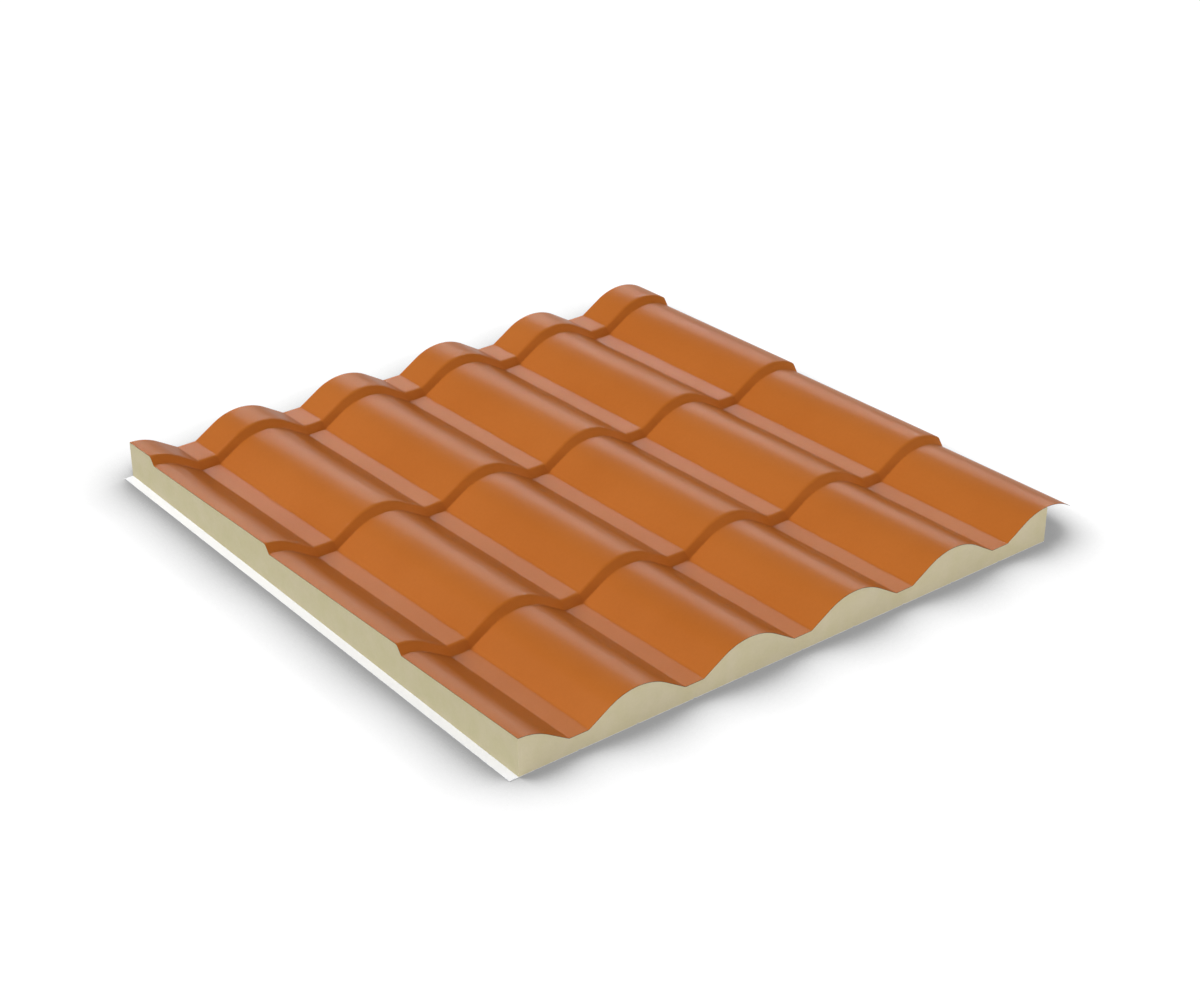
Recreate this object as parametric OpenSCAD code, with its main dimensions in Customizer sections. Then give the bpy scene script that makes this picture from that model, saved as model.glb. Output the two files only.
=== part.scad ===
// Insulated roof panel with a tile-effect outer sheet
//
// Three bonded layers: a painted steel sheet pressed into rows and courses of roof tiles, a rigid
// foam core that fills the tiles from below, and a flat painted steel liner with shallow grooves.
// X runs across the rows, Y from the eave end up the slope, and Z up. The origin is the middle of
// the footprint, on the liner's underside. The thickness of a sheet is measured along Z.

/* [Layout] */
// Width that the panel covers, from the crown at one side to the crown at the other
cover_w = 1000; // [800:10:1200]
// Rows of tiles across that width
rows = 5; // [2:1:6]
// Length of the panel, from the eave end to the ridge end
panel_l = 1050; // [700:10:1400]
// Courses of tiles along that length
courses = 3; // [1:1:4]
// Length of the tiles at the ridge end, past the top of the last step
ridge_len = 68; // [20:1:150]

/* [Tile section] */
// Height of a crown over the troughs beside it
wave_h = 35.5; // [15:0.5:45]
// Radius of a crown, on the outer face
crown_r = 92; // [60:1:110]
// Width of a trough, from one bend's corner to the other
trough_w = 33; // [15:1:45]
// Radius of the bend at each side of a trough
trough_bend_r = 6; // [2:0.5:12]

/* [Steps] */
// Height of the step from the low end of one course to the high end of the next
step_h = 13; // [5:0.5:25]
// Length of the step's steep face along the panel
step_run = 10; // [6:0.5:25]
// Radius of the bend at the top of a step
step_top_r = 6; // [2:0.5:12]
// Radius of the bend at the foot of a step
step_foot_r = 2.5; // [1:0.5:8]

/* [Layers] */
// Thickness of the whole panel where it is thinnest, in a trough at the foot of a step
trough_t = 15.5; // [8:0.5:120]
// Thickness of the outer sheet
sheet_t = 0.6; // [0.4:0.1:1]
// Thickness of the liner
liner_t = 0.5; // [0.3:0.1:1]

/* [Side laps] */
// Width of the outer sheet's wing past the core, which covers the edge of the next panel
wing_w = 52; // [25:1:80]
// Width of the liner's lip past the core, at the other side
lip_w = 15; // [5:1:40]

/* [Liner grooves] */
// Distance from one groove to the next
groove_pitch = 100; // [50:5:250]
// Width of a groove
groove_w = 6; // [3:0.5:12]
// Depth of a groove, which is pressed up into the core
groove_d = 1.2; // [0.5:0.1:2.5]

/* [Hidden] */

// Chords in the arc of a crown, an even number, and in the arc of a smaller bend
crown_chords = 8;
bend_chords = 2;

// Lengths closer than this count as the same
slack = 0.01;

// One tile, and the whole footprint. X is from the core's left face and Y from the eave end
row_pitch = cover_w / rows;
course_pitch = panel_l / courses;
footprint_w = lip_w + cover_w + wing_w;

// A crown's arc leaves at least a tenth of the room that an arc without flanks would take
flank_run = (row_pitch - trough_w) / 2;
full_arc_r = (pow(flank_run, 2) + pow(wave_h, 2)) / (2 * wave_h);
arc_share = 0.9;
arc_r = min(crown_r, arc_share * full_arc_r);

// A flank is a straight line that touches the crown's arc and ends at the trough's corner
flank_a = asin(arc_r / norm([flank_run, arc_r - wave_h])) - atan((arc_r - wave_h) / flank_run);
apex_h = flank_run * tan(flank_a);

// The tiles fall from the top of each step to the foot of the next one
fall = step_h / (course_pitch - step_run);
eave_len = course_pitch - ridge_len - step_run;

// The grooves stand evenly about the middle of the core's width
groove_count = ceil(cover_w / groove_pitch) - 1;
first_groove = (cover_w - (groove_count - 1) * groove_pitch) / 2;
groove_xs = [for (k = [0:1:groove_count - 1]) first_groove + k * groove_pitch];

function unit(v) = v / norm(v);

// The arc that rounds corner b of the line a, b, c, as points
function bend(a, b, c, r, chords) =
    let (
        back = unit(a - b),
        ahead = unit(c - b),
        half = acos(back * ahead) / 2,
        centre = b + unit(back + ahead) * r / sin(half),
        start = b + back * r / tan(half) - centre,
        turn = sign(cross(b - a, c - b)) * acos(-(back * ahead))
    )
    [for (k = [0:chords])
        let (t = turn * k / chords)
        centre + [start.x * cos(t) - start.y * sin(t), start.x * sin(t) + start.y * cos(t)]];

// A line through corners [x, z, bend radius, chords], with its two ends left sharp
function bent_line(corners) =
    let (p = [for (c = corners) [c[0], c[1]]], last = len(p) - 1)
    [p[0], for (i = [1:last - 1]) each bend(p[i - 1], p[i], p[i + 1], corners[i][2], corners[i][3]),
        p[last]];

// Height of the outer face across the rows: points [x, height over the trough]
row_line = bent_line([
    for (k = [0:rows]) each [
        [k * row_pitch - flank_run, 0, trough_bend_r, bend_chords],
        [k * row_pitch, apex_h, arc_r, crown_chords],
        [k * row_pitch + flank_run, 0, trough_bend_r, bend_chords]
    ]
]);

// Lift of the tiles along the panel: points [y, lift over the foot of a step]
course_line = bent_line([
    [0, fall * eave_len],
    for (k = [0:courses - 1]) each [
        [eave_len + k * course_pitch, 0, step_foot_r, bend_chords],
        [eave_len + k * course_pitch + step_run, step_h, step_top_r, bend_chords]
    ],
    [panel_l, step_h - fall * ridge_len]
]);

// The row line from the core's left face, through the middle of a crown, to x = end
function section_to(end) = [
    for (p = row_line) if (p.x > -slack && p.x < end - slack) p,
    [end, lookup(end, row_line)]
];

// The tiled surface over a section, lowered by drop: one line of points for each course point
function tiles(section, drop) =
    [for (c = course_line) [for (s = section) [s.x, c.x, trough_t + s.y + c.y - drop]]];

// The same grid of points, all at one height
function level(section, z) = [for (c = course_line) [for (s = section) [s.x, c.x, z]]];

// The solid between two surfaces on one grid
module layer(upper, lower) {
    m = len(upper);
    n = len(upper[0]);
    under = m * n;
    polyhedron(
        points = [for (line = concat(upper, lower)) each line],
        faces = [
            for (j = [0:m - 2], i = [0:n - 2])
                let (a = j * n + i) each [
                    [a, a + n, a + n + 1, a + 1],
                    [under + a, under + a + 1, under + a + n + 1, under + a + n]
                ],
            for (i = [0:n - 2], a = [i, (m - 1) * n + i])
                a == i ? [a, a + 1, under + a + 1, under + a] : [a + 1, a, under + a, under + a + 1],
            for (j = [0:m - 2], a = [j * n, j * n + n - 1])
                a == j * n ? [a + n, a, under + a, under + a + n] : [a, a + n, under + a + n, under + a]
        ]
    );
}

// Moves a shape from the core's left face and the eave end to the middle of the footprint
module centred() {
    translate([lip_w - footprint_w / 2, -panel_l / 2, 0]) children();
}

// A section drawn in X and Z, run along the whole panel
module along_panel() {
    translate([0, panel_l, 0]) rotate([90, 0, 0]) linear_extrude(panel_l) children();
}

// A face of the liner at height z, as points from the lip to the other side
function liner_face(z) = [
    [-lip_w, z],
    for (x = groove_xs) each [[x - groove_w / 2, z], [x, z + groove_d], [x + groove_w / 2, z]],
    [cover_w, z]
];

module tile_sheet() {
    section = section_to(cover_w + wing_w);
    color("#b9682c")
        centred() layer(tiles(section, 0), tiles(section, sheet_t));
}

module foam_core() {
    section = section_to(cover_w);
    color("#c5ba99")
        centred() difference() {
            layer(tiles(section, sheet_t), level(section, liner_t));
            along_panel()
                for (x = groove_xs)
                    translate([x, liner_t]) polygon([[-groove_w / 2, 0], [0, groove_d], [groove_w / 2, 0]]);
        }
}

module liner_sheet() {
    upper = liner_face(liner_t);
    color("#f4f5f2")
        centred() along_panel()
            polygon([each liner_face(0), for (k = [len(upper) - 1:-1:0]) upper[k]]);
}

tile_sheet();
foam_core();
liner_sheet();
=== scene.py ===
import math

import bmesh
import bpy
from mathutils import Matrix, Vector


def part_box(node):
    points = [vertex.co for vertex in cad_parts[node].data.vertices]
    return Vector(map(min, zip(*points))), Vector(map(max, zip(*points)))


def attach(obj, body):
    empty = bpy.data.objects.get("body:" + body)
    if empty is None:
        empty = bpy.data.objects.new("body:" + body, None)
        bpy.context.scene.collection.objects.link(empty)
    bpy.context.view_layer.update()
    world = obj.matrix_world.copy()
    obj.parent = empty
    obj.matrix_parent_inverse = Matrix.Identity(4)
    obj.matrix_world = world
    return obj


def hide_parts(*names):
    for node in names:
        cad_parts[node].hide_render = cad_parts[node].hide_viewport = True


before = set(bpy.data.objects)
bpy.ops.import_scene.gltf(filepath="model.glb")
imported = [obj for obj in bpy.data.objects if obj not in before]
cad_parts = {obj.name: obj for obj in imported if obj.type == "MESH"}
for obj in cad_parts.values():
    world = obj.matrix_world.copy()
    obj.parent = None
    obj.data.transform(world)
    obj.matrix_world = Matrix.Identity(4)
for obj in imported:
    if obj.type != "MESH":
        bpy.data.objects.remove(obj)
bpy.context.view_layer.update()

# Insulated roof panel: a coil-coated steel sheet pressed into roof tiles, a sawn rigid foam core
# and a flat white steel liner. The formed sheet is made here, from the sizes of the part's source.
# The foam and the liner are the CAD's own solids with finishes.

MM = 0.001

# ---- Sizes -------------------------------------------------------------------------------------

ROWS = 5
COURSES = 3
WAVE_H = 35.5 * MM
CROWN_R = 92 * MM
TROUGH_W = 33 * MM
TROUGH_BEND_R = 6 * MM
STEP_H = 13 * MM
STEP_RUN = 10 * MM
STEP_TOP_R = 6 * MM
STEP_FOOT_R = 2.5 * MM
RIDGE_LEN = 68 * MM
TROUGH_T = 15.5 * MM
SHEET_T = 0.6 * MM

# Chords in the arc of a crown and of a smaller bend, and the short chord that holds a bend's end
CROWN_CHORDS = 28
BEND_CHORDS = 8
HOLD = 1.5 * MM

core_low, core_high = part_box("foam_core")
left, eave = core_low.x, core_low.y
right, ridge = core_high.x, core_high.y
wing_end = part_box("tile_sheet")[1].x
row_pitch = (right - left) / ROWS
course_pitch = (ridge - eave) / COURSES
X_AXIS, Y_AXIS, Z_AXIS = Vector((1, 0, 0)), Vector((0, 1, 0)), Vector((0, 0, 1))

# Places of the formed sheet's finishes in its list of materials
FACE_COAT, BACK_COAT, CUT_EDGE = 0, 1, 2


# ---- Shapes ------------------------------------------------------------------------------------

def bend(bm, before, corner, after, radius, chords, axis):
    """Spins the arc that rounds a corner of a bent line, and returns its two ends."""
    back, ahead = (before - corner).normalized(), (after - corner).normalized()
    half = back.angle(ahead) / 2
    centre = corner + (back + ahead).normalized() * radius / math.sin(half)
    start = corner + back * radius / math.tan(half)
    turn = math.copysign(math.pi - 2 * half, ahead.cross(back).dot(axis))
    first = bm.verts.new(start + back * HOLD)
    arc = bm.verts.new(start)
    bm.edges.new((first, arc))
    spun = bmesh.ops.spin(bm, geom=[arc], cent=centre, axis=axis, angle=turn, steps=chords)
    end = next(g for g in spun["geom_last"] if isinstance(g, bmesh.types.BMVert))
    last = bm.verts.new(end.co + ahead * HOLD)
    bm.edges.new((end, last))
    return first, last


def bent_line(corners, axis):
    """A line of edges through corners (place, radius, chords), with its two ends left sharp."""
    bm = bmesh.new()
    places = [c[0] for c in corners]
    here = bm.verts.new(places[0])
    for i, (place, radius, chords) in enumerate(corners[1:-1], start=1):
        first, last = bend(bm, places[i - 1], place, places[i + 1], radius, chords, axis)
        bm.edges.new((here, first))
        here = last
    bm.edges.new((here, bm.verts.new(places[-1])))
    return bm


def row_line():
    """The section across the rows at a step's foot, from the core's left side to the wing's edge."""
    run = (row_pitch - TROUGH_W) / 2
    # How far the middle of a crown's arc is below the troughs
    sunk = CROWN_R - WAVE_H
    flank = math.asin(CROWN_R / math.hypot(run, sunk)) - math.atan(sunk / run)
    apex = TROUGH_T + run * math.tan(flank)
    corners = []
    for row in range(ROWS + 1):
        crown = left + row * row_pitch
        corners += [
            (Vector((crown - run, eave, TROUGH_T)), TROUGH_BEND_R, BEND_CHORDS),
            (Vector((crown, eave, apex)), CROWN_R, CROWN_CHORDS),
            (Vector((crown + run, eave, TROUGH_T)), TROUGH_BEND_R, BEND_CHORDS),
        ]
    bm = bent_line(corners, Y_AXIS)
    for x, cut in ((left, {"clear_inner": True}), (wing_end, {"clear_outer": True})):
        bmesh.ops.bisect_plane(
            bm, geom=bm.verts[:] + bm.edges[:], plane_co=X_AXIS * x, plane_no=X_AXIS, **cut
        )
    return bm


def course_stops():
    """Lift of the tiles from the eave to the ridge, as places in order."""
    fall = STEP_H / (course_pitch - STEP_RUN)
    eave_len = course_pitch - RIDGE_LEN - STEP_RUN
    corners = [(Vector((0, eave, fall * eave_len)), 0, 0)]
    for course in range(COURSES):
        foot = eave + eave_len + course * course_pitch
        corners += [
            (Vector((0, foot, 0)), STEP_FOOT_R, BEND_CHORDS),
            (Vector((0, foot + STEP_RUN, STEP_H)), STEP_TOP_R, BEND_CHORDS),
        ]
    corners.append((Vector((0, ridge, STEP_H - fall * RIDGE_LEN)), 0, 0))
    line = bent_line(corners, X_AXIS)
    stops = sorted((v.co.copy() for v in line.verts), key=lambda place: place.y)
    line.free()
    return stops


def formed_sheet():
    """The row's section swept up the courses, then given the sheet's thickness along Z."""
    bm = row_line()
    stops = course_stops()
    bmesh.ops.translate(bm, verts=bm.verts, vec=Z_AXIS * stops[0].z)
    edges = bm.edges[:]
    for here, there in zip(stops, stops[1:]):
        grown = bmesh.ops.extrude_edge_only(bm, edges=edges)["geom"]
        verts = [g for g in grown if isinstance(g, bmesh.types.BMVert)]
        bmesh.ops.translate(bm, verts=verts, vec=there - here)
        fresh = set(verts)
        edges = [g for g in grown if isinstance(g, bmesh.types.BMEdge) and fresh.issuperset(g.verts)]
    top = bm.faces[:]
    under = bmesh.ops.extrude_face_region(bm, geom=top, use_keep_orig=True)["geom"]
    verts = [g for g in under if isinstance(g, bmesh.types.BMVert)]
    bmesh.ops.translate(bm, verts=verts, vec=-Z_AXIS * SHEET_T)
    for face in bm.faces:
        face.material_index = CUT_EDGE
        face.smooth = True
    for face in top:
        face.material_index = FACE_COAT
    for face in under:
        if isinstance(face, bmesh.types.BMFace):
            face.material_index = BACK_COAT
    for edge in bm.edges:
        edge.smooth = len({face.material_index for face in edge.link_faces}) == 1
    bmesh.ops.recalc_face_normals(bm, faces=bm.faces)
    return bm


def settle(bm, name, finishes):
    """Makes a finished mesh an object that rides on the panel and takes its finish from a slot."""
    mesh = bpy.data.meshes.new(name)
    bm.to_mesh(mesh)
    bm.free()
    for material in finishes:
        mesh.materials.append(material)
    piece = bpy.data.objects.new(name, mesh)
    bpy.context.scene.collection.objects.link(piece)
    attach(piece, "root")
    return piece


# ---- Finishes ----------------------------------------------------------------------------------

def linear(code):
    """An sRGB hex colour as linear red, green, blue and alpha."""
    parts = [int(code[i:i + 2], 16) / 255 for i in (1, 3, 5)]
    return [c / 12.92 if c <= 0.04045 else ((c + 0.055) / 1.055) ** 2.4 for c in parts] + [1]


def per_metre(size_mm):
    """Scale of a pattern whose features are that size."""
    return 1000 / size_mm


def add(tree, kind, inputs=(), **settings):
    """Adds a node with its settings. Each input is a value or the output that it is linked to."""
    node = tree.nodes.new(kind)
    for name, value in settings.items():
        setattr(node, name, value)
    for socket, value in dict(inputs).items():
        if isinstance(value, bpy.types.NodeSocket):
            tree.links.new(value, node.inputs[socket])
        else:
            node.inputs[socket].default_value = value
    return node


def finish(name):
    """An empty material, its node tree and the place of its points on the piece."""
    material = bpy.data.materials.new(name)
    material.use_nodes = True
    material.node_tree.nodes.clear()
    place = add(material.node_tree, "ShaderNodeTexCoord").outputs["Object"]
    return material, material.node_tree, place


def noise(tree, place, size_mm, detail):
    """Cloudy noise about the middle of 0 to 1, with clouds of that size."""
    inputs = {"Vector": place, "Scale": per_metre(size_mm), "Detail": detail}
    return add(tree, "ShaderNodeTexNoise", inputs).outputs[0]


def spread(tree, value, span, low, high):
    """Stretches a value from span to the range from low to high."""
    inputs = {0: value, 1: span[0], 2: span[1], 3: low, 4: high}
    return add(tree, "ShaderNodeMapRange", inputs).outputs[0]


def blend(tree, share, first, second):
    """The first colour where the share is 0 and the second where it is 1."""
    inputs = {0: share, 6: first, 7: second}
    return add(tree, "ShaderNodeMix", inputs, data_type="RGBA").outputs[2]


def dimmed(tree, colour, factor):
    """A colour times a factor."""
    return add(tree, "ShaderNodeVectorMath", {0: colour, 3: factor}, operation="SCALE").outputs[0]


def relief(tree, height, strength, depth):
    """The normal of a surface with that height pattern, at most as deep as depth."""
    inputs = {"Height": height, "Strength": strength, "Distance": depth}
    return add(tree, "ShaderNodeBump", inputs).outputs[0]


def close_with(tree, surface):
    """Ends a material with its surface."""
    add(tree, "ShaderNodeOutputMaterial", {"Surface": surface.outputs[0]})


# The span that holds most of a noise, and a narrower one that clips its palest and darkest clouds
NOISE_SPAN = 0.3, 0.7
CLIPPED_SPAN = 0.35, 0.65
# How far a fine grain darkens and lightens a colour
GRAIN_LOW, GRAIN_HIGH = 0.985, 1.015
# Refractive index of paint, primer and foam
RESIN_IOR = 1.5
# How fine the rolls' streaks are along the panel, as a share of how fine they are across it
STREAK_SHARE = 0.012


def coil_coating():
    """Satin polyester paint baked on the coil, then pressed into tiles.

    The paint is even, with a fine grain up close. Its thin clear skin gives a pale sheen on the
    crowns and troughs where light comes over the panel, and little on the flanks. Under the skin
    the rolls leave streaks of roughness along the panel, which the skin almost hides.
    """
    material, tree, place = finish("terracotta_polyester_coil_coating")
    cloud = spread(tree, noise(tree, place, size_mm=170, detail=3), CLIPPED_SPAN, 0, 1)
    grain = noise(tree, place, size_mm=5, detail=2)
    along = add(tree, "ShaderNodeMapping", {"Vector": place, "Scale": (1, STREAK_SHARE, 1)})
    streak = noise(tree, along.outputs[0], size_mm=7, detail=2)
    hue = blend(tree, cloud, linear("#B46525"), linear("#B86929"))
    hue = dimmed(tree, hue, spread(tree, grain, NOISE_SPAN, GRAIN_LOW, GRAIN_HIGH))
    bump = relief(tree, grain, strength=0.05, depth=0.2 * MM)
    close_with(tree, add(
        tree, "ShaderNodeBsdfPrincipled",
        {
            "Base Color": hue, "Roughness": spread(tree, streak, NOISE_SPAN, 0.32, 0.40),
            "Normal": bump, "IOR": RESIN_IOR, "Specular IOR Level": 0.001, "Coat Weight": 0.44,
            "Coat IOR": 1.2, "Coat Roughness": 0.26, "Coat Normal": bump,
        }
    ))
    return material


def backing_coat():
    """Grey-beige epoxy primer on the sheet's inner side, thin, matt and slightly uneven."""
    material, tree, place = finish("epoxy_backing_coat")
    cloud = noise(tree, place, size_mm=40, detail=4)
    hue = blend(tree, cloud, linear("#A9A698"), linear("#B9B6A8"))
    bump = relief(tree, cloud, strength=0.1, depth=0.3 * MM)
    close_with(tree, add(
        tree, "ShaderNodeBsdfPrincipled",
        {"Base Color": hue, "Roughness": 0.6, "IOR": RESIN_IOR, "Normal": bump}
    ))
    return material


def cut_edge_painted_shade():
    """Sheared edge of the painted steel, with primer and paint drawn over the thin metal, nearly black
    as painted shade.
    """
    material, tree, place = finish("sheared_steel_edge_painted_shade")
    wear = noise(tree, place, size_mm=9, detail=3)
    # Near-black colours: painted shade for the thin unlit line of the edge
    hue = blend(tree, wear, linear("#220E06"), linear("#331609"))
    close_with(tree, add(
        tree, "ShaderNodeBsdfPrincipled",
        {"Base Color": hue, "Roughness": 0.6, "IOR": RESIN_IOR, "Specular IOR Level": 0.1}
    ))
    return material


def sawn_foam():
    """Rigid polyurethane foam, foamed between the sheets, then sawn at its ends.

    Its cells are taken as about 0.3 mm wide, too fine to show from afar, so they are drawn 1.6 mm
    wide. The mix leaves soft clouds in the colour. The sawn ends are drawn paler than the smooth
    sides, partly for their opened cells and partly as painted light that evens them with the
    better-lit sides.
    """
    material, tree, place = finish("sawn_polyurethane_foam")
    cloud = spread(tree, noise(tree, place, size_mm=28, detail=4), NOISE_SPAN, 0, 1)
    cells = add(tree, "ShaderNodeTexVoronoi", {"Vector": place, "Scale": per_metre(1.6)})
    pores = noise(tree, place, size_mm=4, detail=3)
    # Two copies of the foam's colour: the ends' is paler, partly for opened cells, partly painted
    # light
    side = blend(tree, cloud, linear("#B8B08D"), linear("#BDB496"))
    end = blend(tree, cloud, linear("#C9BF9C"), linear("#CEC3A6"))
    normal = add(tree, "ShaderNodeNewGeometry").outputs["Normal"]
    along = add(tree, "ShaderNodeSeparateXYZ", {0: normal}).outputs[1]
    facing_end_painted_light = add(tree, "ShaderNodeMath", {0: along}, operation="ABSOLUTE").outputs[0]
    hue = blend(tree, facing_end_painted_light, side, end)
    hue = dimmed(tree, hue, spread(tree, pores, NOISE_SPAN, GRAIN_LOW, GRAIN_HIGH))
    bump = relief(tree, cells.outputs["Distance"], strength=0.12, depth=0.3 * MM)
    close_with(tree, add(
        tree, "ShaderNodeBsdfPrincipled",
        {
            "Base Color": hue, "Roughness": 0.9, "IOR": RESIN_IOR, "Specular IOR Level": 0.2,
            "Normal": bump,
        }
    ))
    return material


def liner_coating():
    """Satin white polyester paint on the flat liner, with a faint orange peel from the coater."""
    material, tree, place = finish("white_polyester_coil_coating")
    cloud = noise(tree, place, size_mm=120, detail=2)
    peel = noise(tree, place, size_mm=4, detail=2)
    hue = blend(tree, cloud, linear("#EAECF2"), linear("#EDEEF3"))
    bump = relief(tree, peel, strength=0.05, depth=0.2 * MM)
    close_with(tree, add(
        tree, "ShaderNodeBsdfPrincipled",
        {
            "Base Color": hue, "Roughness": spread(tree, peel, NOISE_SPAN, 0.36, 0.44),
            "Normal": bump, "IOR": RESIN_IOR,
        }
    ))
    return material


# ---- The panel ---------------------------------------------------------------------------------

sheet = settle(
    formed_sheet(), "formed_tile_sheet", [coil_coating(), backing_coat(), cut_edge_painted_shade()]
)
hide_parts("tile_sheet")

for node, material in (("foam_core", sawn_foam()), ("liner_sheet", liner_coating())):
    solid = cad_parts[node]
    solid.data.materials.clear()
    solid.data.materials.append(material)


# ---- Studio ------------------------------------------------------------------------------------

WHITE = 1, 1, 1, 1
# How brightly the plain surroundings light the panel, where 1 is white
SKY_LEVEL = 0.12
# How many metres the lamps stand from the panel, so that they light its near and far ends alike
LAMP_DISTANCE = 30
# How far the floor is below the panel, how many metres it reaches each way, and its paper's colour
FLOOR_DROP = 0.3 * MM
FLOOR_REACH = 40
PAPER = linear("#E6E6E6")
# How far round the panel the floor's painted soft shadow reaches, and how many rays look for the panel
SHADOW_REACH = 120 * MM
SHADOW_SAMPLES = 16
# The share of the rays that go free where the shadow is deepest, and how light the floor is there
SHADOW_OPEN = 0.665
SHADOW_DEEPEST = 0.31
# The part of the floor's light that is its own, and how bright that is
GLOW_SHARE = 0.9
FLOOR_GLOW = 1.11


def seen_directly(tree):
    """1 for rays from the camera and for mirrored and refracted ones, or else 0."""
    path = add(tree, "ShaderNodeLightPath")
    seen = path.outputs["Is Camera Ray"]
    for ray in ("Is Glossy Ray", "Is Transmission Ray"):
        both = add(tree, "ShaderNodeMath", {0: seen, 1: path.outputs[ray]}, operation="MAXIMUM")
        seen = both.outputs[0]
    return seen


def white_surroundings():
    """Pale even light from everywhere, seen as plain white."""
    world = bpy.data.worlds.new("white_studio")
    world.use_nodes = True
    tree = world.node_tree
    tree.nodes.clear()
    light = add(tree, "ShaderNodeBackground", {"Color": WHITE, "Strength": SKY_LEVEL})
    white = add(tree, "ShaderNodeBackground", {"Color": WHITE, "Strength": 1})
    mixed = add(
        tree, "ShaderNodeMixShader", {0: seen_directly(tree), 1: light.outputs[0], 2: white.outputs[0]}
    )
    add(tree, "ShaderNodeOutputWorld", {"Surface": mixed.outputs[0]})
    bpy.context.scene.world = world


def paper_floor():
    """Matt white paper, seen as plain white away from the panel's soft shadow, which is painted in."""
    material, tree, _ = finish("white_backdrop_paper")
    paper = add(tree, "ShaderNodeBsdfDiffuse", {"Color": PAPER})
    hollow = add(
        tree, "ShaderNodeAmbientOcclusion", {"Distance": SHADOW_REACH}, samples=SHADOW_SAMPLES
    )
    # Painted shadow: the ambient occlusion round the panel darkens the paper's colour and its glow
    painted_shade = spread(tree, hollow.outputs["AO"], (SHADOW_OPEN, 1), SHADOW_DEEPEST, 1)
    paper_with_painted_shadow = add(tree, "ShaderNodeBsdfDiffuse", {"Color": dimmed(tree, PAPER[:3], painted_shade)})
    light = add(tree, "ShaderNodeMath", {0: painted_shade, 1: FLOOR_GLOW}, operation="MULTIPLY")
    glow = add(tree, "ShaderNodeEmission", {"Color": WHITE, "Strength": light.outputs[0]})
    seen = add(
        tree, "ShaderNodeMixShader", {0: GLOW_SHARE, 1: paper_with_painted_shadow.outputs[0], 2: glow.outputs[0]}
    )
    mixed = add(
        tree, "ShaderNodeMixShader", {0: seen_directly(tree), 1: paper.outputs[0], 2: seen.outputs[0]}
    )
    close_with(tree, mixed)
    bm = bmesh.new()
    bmesh.ops.create_grid(bm, x_segments=1, y_segments=1, size=FLOOR_REACH)
    bmesh.ops.translate(bm, verts=bm.verts, vec=-Z_AXIS * FLOOR_DROP)
    mesh = bpy.data.meshes.new("floor")
    bm.to_mesh(mesh)
    bm.free()
    mesh.materials.append(material)
    floor = bpy.data.objects.new("floor", mesh)
    bpy.context.scene.collection.objects.link(floor)


def direction(azimuth, elevation):
    """Unit vector out from the panel. Azimuth 0 is along -Y, past the eave, and 90 along +X."""
    a, e = math.radians(azimuth), math.radians(elevation)
    return Vector((math.sin(a) * math.cos(e), -math.cos(a) * math.cos(e), math.sin(e)))


def softbox(name, azimuth, elevation, width, height, level):
    """A soft lamp aimed at the panel. Level 1 alone lights a white surface that faces it to white."""
    lamp = bpy.data.lights.new(name, "AREA")
    lamp.shape = "RECTANGLE"
    lamp.size, lamp.size_y = width, height
    lamp.energy = level * (math.pi * LAMP_DISTANCE) ** 2
    box = bpy.data.objects.new(name, lamp)
    bpy.context.scene.collection.objects.link(box)
    box.location = direction(azimuth, elevation) * LAMP_DISTANCE
    box.rotation_euler = box.location.to_track_quat("Z", "Y").to_euler()
    box.visible_camera = False
    return box


white_surroundings()
paper_floor()
softbox("key_from_the_left", -131, 37, 15, 15, 1.12)
softbox("fill_from_the_eave", 19, 13, 22.5, 7.5, 0.60)
sheen = softbox("sheen_from_behind", 141, 22.5, 26, 9.8, 0.45)
# The sheen lamp acts on gloss alone, and the steps throw no shadow of it on the tiles below them
sheen.visible_diffuse = False
sheen.data.use_shadow = False
sheen.data.cycles.use_multiple_importance_sampling = False

# ---- Camera ------------------------------------------------------------------------------------

CAMERA_AIM = Vector((0.0255, -0.002, 0))
CAMERA_AZIMUTH, CAMERA_ELEVATION, CAMERA_DISTANCE = -38.03, 29.03, 3.737
CAMERA_LENS = 70.785

camera_data = bpy.data.cameras.new("camera")
camera_data.lens = CAMERA_LENS
camera = bpy.data.objects.new("camera", camera_data)
bpy.context.scene.collection.objects.link(camera)
back = direction(CAMERA_AZIMUTH, CAMERA_ELEVATION)
camera.location = CAMERA_AIM + back * CAMERA_DISTANCE
camera.rotation_euler = back.to_track_quat("Z", "Y").to_euler()
bpy.context.scene.camera = camera
bpy.context.scene.view_settings.view_transform = "Standard"
